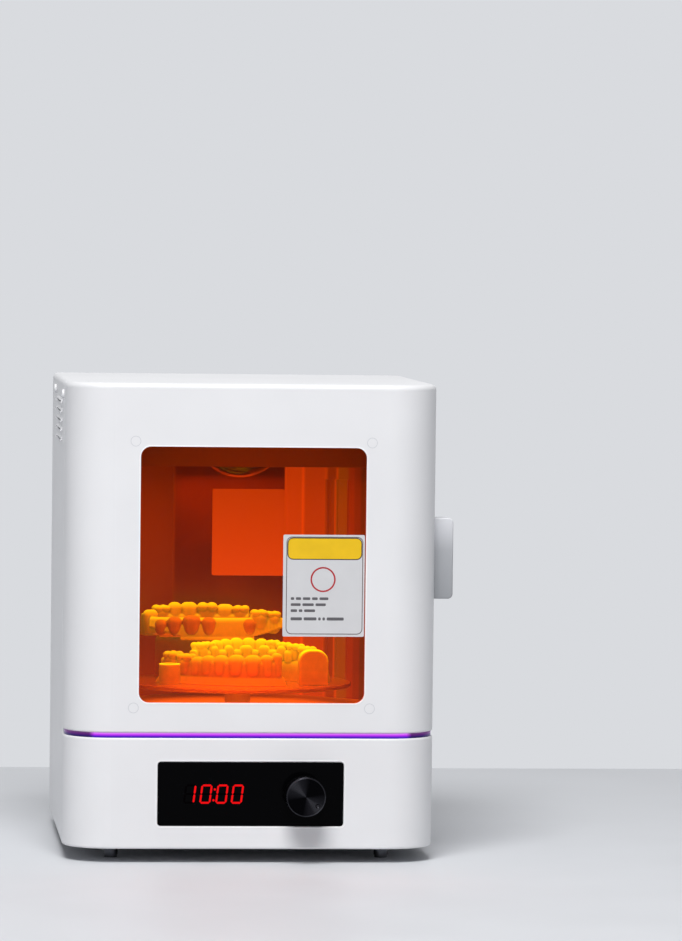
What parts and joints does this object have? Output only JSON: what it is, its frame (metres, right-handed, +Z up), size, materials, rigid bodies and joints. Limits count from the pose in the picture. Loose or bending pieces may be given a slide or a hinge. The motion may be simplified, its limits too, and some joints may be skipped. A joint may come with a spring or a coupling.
{
  "type": "dental lab light curing unit",
  "caption": "Bench-top light curing box with a hinged door, amber window, lit chamber with a turntable, display and push-turn knob.",
  "frame": {"origin": "middle of the footprint on the bench, under the feet", "axes": "+X to the right seen from the front, +Y to the rear, +Z up"},
  "size_m": [0.2224, 0.2489, 0.27],
  "materials": {
    "white_case": "satin moulded and painted white",
    "white_trim": "light grey-white moulding",
    "black_panel": "glossy tinted black",
    "amber_pane": "clear amber acrylic",
    "light_guide": "clear acrylic light guide, glows violet",
    "reflector": "polished reflector sheet",
    "steel": "bright zinc-plated steel",
    "aluminium": "plain extruded aluminium",
    "black_knob": "black anodised, turned",
    "dark_metal": "dark metal with a rubber tip",
    "rubber": "black seal rubber",
    "black_plastic": "black moulding",
    "board_green": "solder-masked circuit board",
    "board_white": "white lamp board",
    "diffuser": "frosted acrylic",
    "lens_glass": "clear optical glass",
    "silver_plastic": "silver moulding",
    "magnet": "nickel-plated magnet",
    "label_white": "blank vinyl label",
    "turntable": "clear acrylic plate"
  },
  "bodies": {
    "case": {"outer_housing": "white_case", "base_plate": "steel", "feet": "dark_metal", "foot_screws": "steel", "rear_panel": "steel", "case_screws": "steel", "front_bezel": "white_case", "catch_magnets": "magnet", "door_sensor": "black_plastic", "chamber_floor": "steel", "chamber_ceiling": "steel", "chamber_liner": "reflector", "chassis_posts": "aluminium", "corner_covers": "diffuser", "lamp_boards": "board_white", "corner_heatsinks": "aluminium", "rear_diffuser": "diffuser", "top_lens": "lens_glass", "lens_ring": "aluminium", "top_lamp_board": "board_white", "top_heatsink": "aluminium", "cross_rails": "steel", "rail_screws": "steel", "light_guide": "light_guide", "light_strip": "board_white", "display_panel": "black_panel", "display_module": "black_plastic", "front_board": "board_green", "board_spacers": "aluminium", "encoder_body": "steel", "encoder_nut": "steel", "turntable_motor": "steel", "fan_frame_upper": "black_plastic", "fan_frame_lower": "black_plastic", "power_inlet": "black_plastic", "switch_housing": "black_plastic", "power_supply": "silver_plastic", "control_board": "board_green", "hinge_tongue": "steel", "hinge_pins": "steel"},
    "door": {"door_shell": "white_case", "door_liner": "white_trim", "door_screws": "steel", "door_gasket": "rubber", "strike_plates": "steel", "window_pane": "amber_pane", "window_seal": "black_plastic", "window_retainer": "white_trim", "window_plugs": "white_trim", "blank_label": "label_white", "door_handle": "white_trim"},
    "encoder_plunger": {"encoder_push_rod": "black_plastic"},
    "knob_body": {"encoder_shaft": "aluminium", "knob": "black_knob"},
    "turntable": {"turntable_plate": "turntable", "turntable_spindle": "aluminium"},
    "fan_upper": {"fan_rotor_upper": "black_plastic"},
    "fan_lower": {"fan_rotor_lower": "black_plastic"},
    "rocker": {"power_rocker": "black_plastic"}
  },
  "joints": [
    {"name": "door_hinge", "type": "hinge", "parent": "case", "child": "door", "pos_m": [-0.101, -0.075, 0], "axis": [0, 0, -1], "range_deg": [0, 100]},
    {"name": "knob_push", "type": "slide", "parent": "case", "child": "encoder_plunger", "axis": [0, 1, 0], "range_m": [0, 0.0007], "stiffness_N_per_m": 3000, "springref_m": -0.0002},
    {"name": "knob_turn", "type": "hinge", "parent": "encoder_plunger", "child": "knob_body", "pos_m": [0.03, -0.115, 0.039], "axis": [0, -1, 0], "continuous": true},
    {"name": "turntable_spin", "type": "hinge", "parent": "case", "child": "turntable", "pos_m": [0, 0, 0.08], "axis": [0, 0, 1], "continuous": true},
    {"name": "fan_upper_spin", "type": "hinge", "parent": "case", "child": "fan_upper", "pos_m": [0, 0.105, 0.24555], "axis": [0, -1, 0], "continuous": true},
    {"name": "fan_lower_spin", "type": "hinge", "parent": "case", "child": "fan_lower", "pos_m": [-0.055, 0.105, 0.044], "axis": [0, -1, 0], "continuous": true},
    {"name": "power_rocker_tilt", "type": "hinge", "parent": "case", "child": "rocker", "pos_m": [0.082, 0.1137, 0.04], "axis": [-1, 0, 0], "range_deg": [0, 16]}
  ]
}
